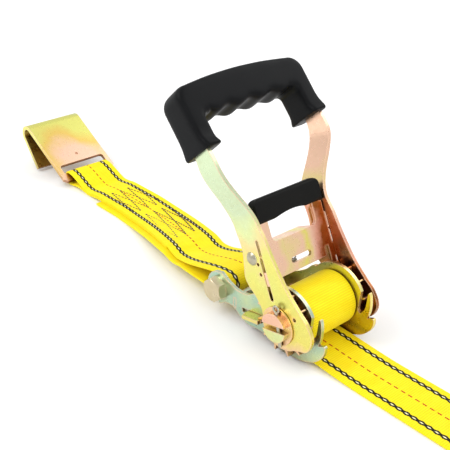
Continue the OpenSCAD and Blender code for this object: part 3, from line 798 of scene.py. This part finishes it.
# The rest of the long strap, wound from its middle: two spirals of the same sense, each losing
# two layers a turn, joined through the eye by an S, then the tail that runs down to the rear hook.
def buildStore():
    count = store["points"]
    outside = store["radius"] - layer / 2
    turns = (outside - store["eye"]) / (2 * layer)
    angle = np.linspace(-np.pi / 2, -np.pi / 2 + 2 * np.pi * turns, count["spiral"])
    radius = outside - 2 * layer * (angle + np.pi / 2) / (2 * np.pi)
    first = np.stack([radius * np.cos(angle), radius * np.sin(angle)], 1)
    second = np.stack([(radius + layer) * np.cos(angle), (radius + layer) * np.sin(angle)], 1)
    second = second[angle >= 0]
    # S through the eye: a cubic from one spiral's end to the other's
    t = np.linspace(0, 1, count["eye"])[1:-1, None]
    a, b = first[-1], second[-1]
    heading = unit(np.array([first[-1] - first[-2], second[-1] - second[-2]])) * store["eye"] * store["pull"]
    across = ((2 * t**3 - 3 * t**2 + 1) * a + (t**3 - 2 * t**2 + t) * heading[0]
              + (3 * t**2 - 2 * t**3) * b - (t**3 - t**2) * heading[1])
    x0 = second[0][0]
    floor = -store["radius"] + layer / 2
    bend = store["bend"]
    down = np.linspace(0, floor + bend, count["drop"])
    drop = np.stack([np.full_like(down, x0), down], 1)[1:]
    turn = np.radians(np.linspace(180, 270, count["bend"]))[1:]
    foot = np.stack([x0 + bend + bend * np.cos(turn), floor + bend + bend * np.sin(turn)], 1)
    loop = shortStrap["bar radius"] + layer / 2
    hook = rearBar.x - store["middle"], rearBar.z - store["radius"]
    x = np.linspace(foot[-1][0], hook[0], count["tail"])[1:]
    t = ease((x - x[0]) / (x[-1] - x[0]))
    low = np.stack([x, floor + (hook[1] - loop - floor) * t], 1)
    a = np.radians(np.linspace(-90, 90, count["hook"]))[1:-1]
    eye = np.stack([hook[0] + loop * np.cos(a), hook[1] + loop * np.sin(a)], 1)
    x = np.linspace(hook[0], foot[-1][0] + store["tail lap"], count["tail"])
    t = ease((x - x[-1]) / (x[0] - x[-1]))
    back = np.stack([x, floor + layer + (hook[1] + loop - floor - layer) * t], 1)
    wound = evenly(np.concatenate([first, across, second[::-1]]), store["step"])
    tail = evenly(np.concatenate([drop, foot, low, eye, back]), store["tail step"])
    for name, flat, columns, node in (("storedWebbing", wound, store["columns"], "storage_roll"),
                                      ("tailWebbing", tail, webbing["columns"], "tail_strap")):
        level = np.zeros(len(flat))
        line = np.stack([flat[:, 0] + store["middle"], level, flat[:, 1] + store["radius"]], 1)
        piece = sweepWebbing(name, line, columns, ribs=False)
        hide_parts(node)
        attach(piece, "base")


stitching = {
    "bars": ((-0.305, -0.253), (-0.244, -0.172)),  # start and end of each sewn block
    "rows": (19 * mm, 10 * mm, 0, -10 * mm, -19 * mm),
    "pitch": 4.1 * mm,
    "length": 3.3 * mm,
    "thread": 0.56 * mm,
    "return thread": 0.42 * mm,
    "lift": 0.12 * mm,
    "rings": 7,
    "around": 8,
    "blunt": 0.97,  # the end faces stand this far from the middle, 1 being the tip
}


# Stitches as small closed rounded bars: the points of each lie on an ellipse-like ring whose radius
# follows the square root of 1 minus the fourth power of the distance from the stitch's middle.
def makeStitches(name, middles, headings, lifts, length, radius, finish):
    rings, around, blunt = (stitching[k] for k in ("rings", "around", "blunt"))
    t = np.linspace(-blunt, blunt, rings)
    a = np.arange(around) * 2 * np.pi / around
    sideways = unit(np.cross(lifts, headings))
    upright = np.cross(headings, sideways)
    swell = radius * np.sqrt(1 - t**4)
    points = (middles[:, None, None] + headings[:, None, None] * (t * length / 2)[None, :, None, None]
              + sideways[:, None, None] * (swell[:, None] * np.cos(a))[None, ..., None]
              + upright[:, None, None] * (swell[:, None] * np.sin(a))[None, ..., None])
    one = gridFaces(rings, around)
    count = rings * around
    starts = np.arange(len(middles)) * count
    faces = (one[None] + starts[:, None, None]).reshape(-1, 4)
    first = starts[:, None] + np.arange(around)[::-1]
    last = starts[:, None] + count - around + np.arange(around)
    return makePiece(name, points, faces, finish, list(first) + list(last))


# Crossing rows of stitches: from each row at one end to the next row at the other, and back.
def sewStrap(name, surface, blocks, forward, radius, finish):
    s = stitching
    middles, headings = [], []
    for low, high in blocks:
        for one, other in zip(s["rows"][:-1], s["rows"][1:]):
            start, end = (low, one), (high, other)
            if not forward:
                start, end = (high, one), (low, other)
            count = int(np.hypot(end[0] - start[0], end[1] - start[1]) / s["pitch"])
            t = (np.arange(count) + 0.5) / count
            x = start[0] + (end[0] - start[0]) * t
            across = start[1] + (end[1] - start[1]) * t
            dx, dy = ((b - a) / (2 * count) for a, b in zip(start, end))
            middles.append(surface(x, across))
            headings.append(unit(surface(x + dx, across + dy) - surface(x - dx, across - dy)))
    middles, headings = np.concatenate(middles), np.concatenate(headings)
    lifts = np.broadcast_to((0.0, 0.0, 1.0), middles.shape)
    piece = makeStitches(name, middles, headings, lifts, s["length"], radius, finish)
    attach(piece, "base")


# The top face of the short strap, raised so that the stitches lie half in it.
def shortTop(x, across):
    height = topHeight(x) + webbing["thickness"] / 2 + stitching["lift"]
    return np.stack([x, sideShift(x) + across, height], 1)


gripShape = {
    "origin": (140 * mm, 9 * mm),  # along and behind the lever's guide
    "tilt": 18.0,
    "outer half": 63.5 * mm,
    "inner half": 47.5 * mm,
    "top": 54.3 * mm,
    "crown": 3.6 * mm,
    "outer corner": 11 * mm,
    "inner corner": 5 * mm,
    "bar low": 25.4 * mm,
    "bump": 1.35 * mm,
    "bump pitch": 22 * mm,
    "half depth": 13.6 * mm,
    "foot front": 4.0 * mm,
    "foot back": 3.0 * mm,
    "foot height": 12 * mm,
    "foot power": 1.3,
    "foot rings": (0, 0.5, 1.4, 3, 5, 8, 11, 14, 17, 18.5, 20),  # heights up the leg, last one at its top
    "rim": 1.4 * mm,  # the foot's edge is rounded over this height
    "rim share": 0.07,
    "square": 0.36,  # power that squares the section
    "bump fade": 4 * mm,  # bumps die out this near to an inner corner
    "corner points": 16,
    "top points": 90,
    "around": 72,
}


# Moulded grip: a rounded box section carried from one leg's foot over the crossbar to the other foot.
# Section point = middle + half the span * c + depth * s, where c and s are the cosine and sine raised
# to a power below one, which squares the section. Finger bumps follow a cosine of the distance across.
def buildGrip():
    g = gripShape
    corner = np.radians(np.linspace(0, 90, g["corner points"]))
    out, within = g["outer corner"], g["inner corner"]
    shoulder = g["top"] - g["crown"] - out
    armpit = g["bar low"] - within
    share = np.array(g["foot rings"]) / g["foot rings"][-1]
    arc = np.stack([np.cos(corner), np.sin(corner)], 1)[1:]
    outerStart, innerStart = g["outer half"] - out, g["inner half"] - within
    outer = [np.stack([np.full(len(share), g["outer half"]), share * shoulder], 1),
             (outerStart, shoulder) + out * arc]
    inner = [np.stack([np.full(len(share), g["inner half"]), share * armpit], 1),
             (innerStart, armpit) + within * arc]
    t = np.linspace(1, 0, g["top points"])[1:]
    outer.append(np.stack([t * outerStart, g["top"] - g["crown"] * t**2], 1))
    y = t * innerStart
    bump = g["bump"] * np.cos(2 * np.pi * y / g["bump pitch"]) * ease((innerStart - y) / g["bump fade"])
    inner.append(np.stack([y, g["bar low"] + bump], 1))
    outer, inner = np.concatenate(outer), np.concatenate(inner)
    flip = np.array([-1.0, 1.0])
    outer = np.concatenate([outer, outer[-2::-1] * flip])
    inner = np.concatenate([inner, inner[-2::-1] * flip])
    half, centre = (outer - inner) / 2, (outer + inner) / 2
    height = centre[:, 1]
    flare = (1 - ease(height / g["foot height"])) ** g["foot power"]
    rounding = 1 - g["rim share"] * np.clip(1 - height / g["rim"], 0, 1) ** 2
    front = (g["half depth"] + g["foot front"] * flare) * rounding
    back = (g["half depth"] + g["foot back"] * flare) * rounding
    a = np.linspace(0, 2 * np.pi, g["around"], endpoint=False)
    c = np.sign(np.cos(a)) * np.abs(np.cos(a)) ** g["square"]
    s = np.sign(np.sin(a)) * np.abs(np.sin(a)) ** g["square"]
    plane = centre[:, None] + (half * rounding[:, None])[:, None] * c[None, :, None]
    depth = np.where(s[None] < 0, s[None] * front[:, None], s[None] * back[:, None])
    along = np.array([math.cos(lean), 0, math.sin(lean)])
    behind = np.array([-math.sin(lean), 0, math.cos(lean)])
    turn = math.radians(g["tilt"])
    rising = along * math.cos(turn) + behind * math.sin(turn)
    backward = behind * math.cos(turn) - along * math.sin(turn)
    origin = np.array([0, 0, axisHeight]) + along * g["origin"][0] + behind * g["origin"][1]
    points = (origin + plane[..., 1:2] * rising + plane[..., 0:1] * np.array([0.0, 1.0, 0.0])
              + depth[..., None] * backward)
    rows, count = points.shape[:2]
    caps = [np.arange(count)[::-1], (rows - 1) * count + np.arange(count)]
    piece = makePiece("mouldedGrip", points, gridFaces(rows, count), "grip", caps)
    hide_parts("handle_grip")
    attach(piece, "handle")


coils = {
    "around": 12,
    "per turn": 28,
    "lever": {"radius": 3 * mm, "wire": 0.48 * mm, "turns": 6, "length": 11.2 * mm, "sides": (0,)},
    "lock": {"radius": 2.3 * mm, "wire": 0.42 * mm, "turns": 7, "length": 12.8 * mm,
             "sides": (-14 * mm, 14 * mm)},
}


# Compression springs: a round wire along a helix whose first and last half turns lie flat.
def makeSprings(name, node, joint, body, coil):
    direction = np.array(joints[joint]["axis"], float)
    centre = np.array(middle(node))
    turns, wire, length = coil["turns"], coil["wire"], coil["length"]
    around = coils["around"]
    t = np.linspace(0, turns, turns * coils["per turn"] + 1)
    rise = np.clip((t - 0.5) / (turns - 1), 0, 1) * (length - 2 * wire) + wire - length / 2
    level = np.array([0.0, 1.0, 0.0])
    third = np.cross(direction, level)
    turned = 2 * np.pi * t[:, None]
    radial = level * np.cos(turned) + third * np.sin(turned)
    helix = rise[:, None] * direction + coil["radius"] * radial
    upright = unit(np.cross(unit(np.gradient(helix, axis=0)), radial))
    a = np.arange(around) * 2 * np.pi / around
    tube = (helix[:, None] + wire * (np.cos(a)[None, :, None] * radial[:, None]
                                     + np.sin(a)[None, :, None] * upright[:, None])).reshape(-1, 3)
    one = gridFaces(len(t), around)
    points, faces, caps = [], [], []
    for i, side in enumerate(coil["sides"]):
        points.append(tube + (centre[0], side, centre[2]))
        faces.append(one + i * len(tube))
        caps += [i * len(tube) + np.arange(around)[::-1], (i + 1) * len(tube) - around + np.arange(around)]
    piece = makePiece(name, np.concatenate(points), np.concatenate(faces), "wire", caps)
    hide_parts(node)
    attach(piece, body)
    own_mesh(piece)


makeSprings("leverSpring", "lever_spring", "lever_pull", "handle", coils["lever"])
makeSprings("lockSprings", "lock_springs", "lock_pull", "base", coils["lock"])
print("springs are wound")
buildShortStrap()
sewStrap("blackStitching", shortTop, stitching["bars"], True, stitching["thread"], "blackThread")
sewStrap("brownStitching", shortTop, stitching["bars"], False, stitching["return thread"], "brownThread")
print("short strap is sewn")
buildGrip()
print("grip is moulded")
buildSpool()
buildLongStrap()
buildStore()
print("webbing is laid")
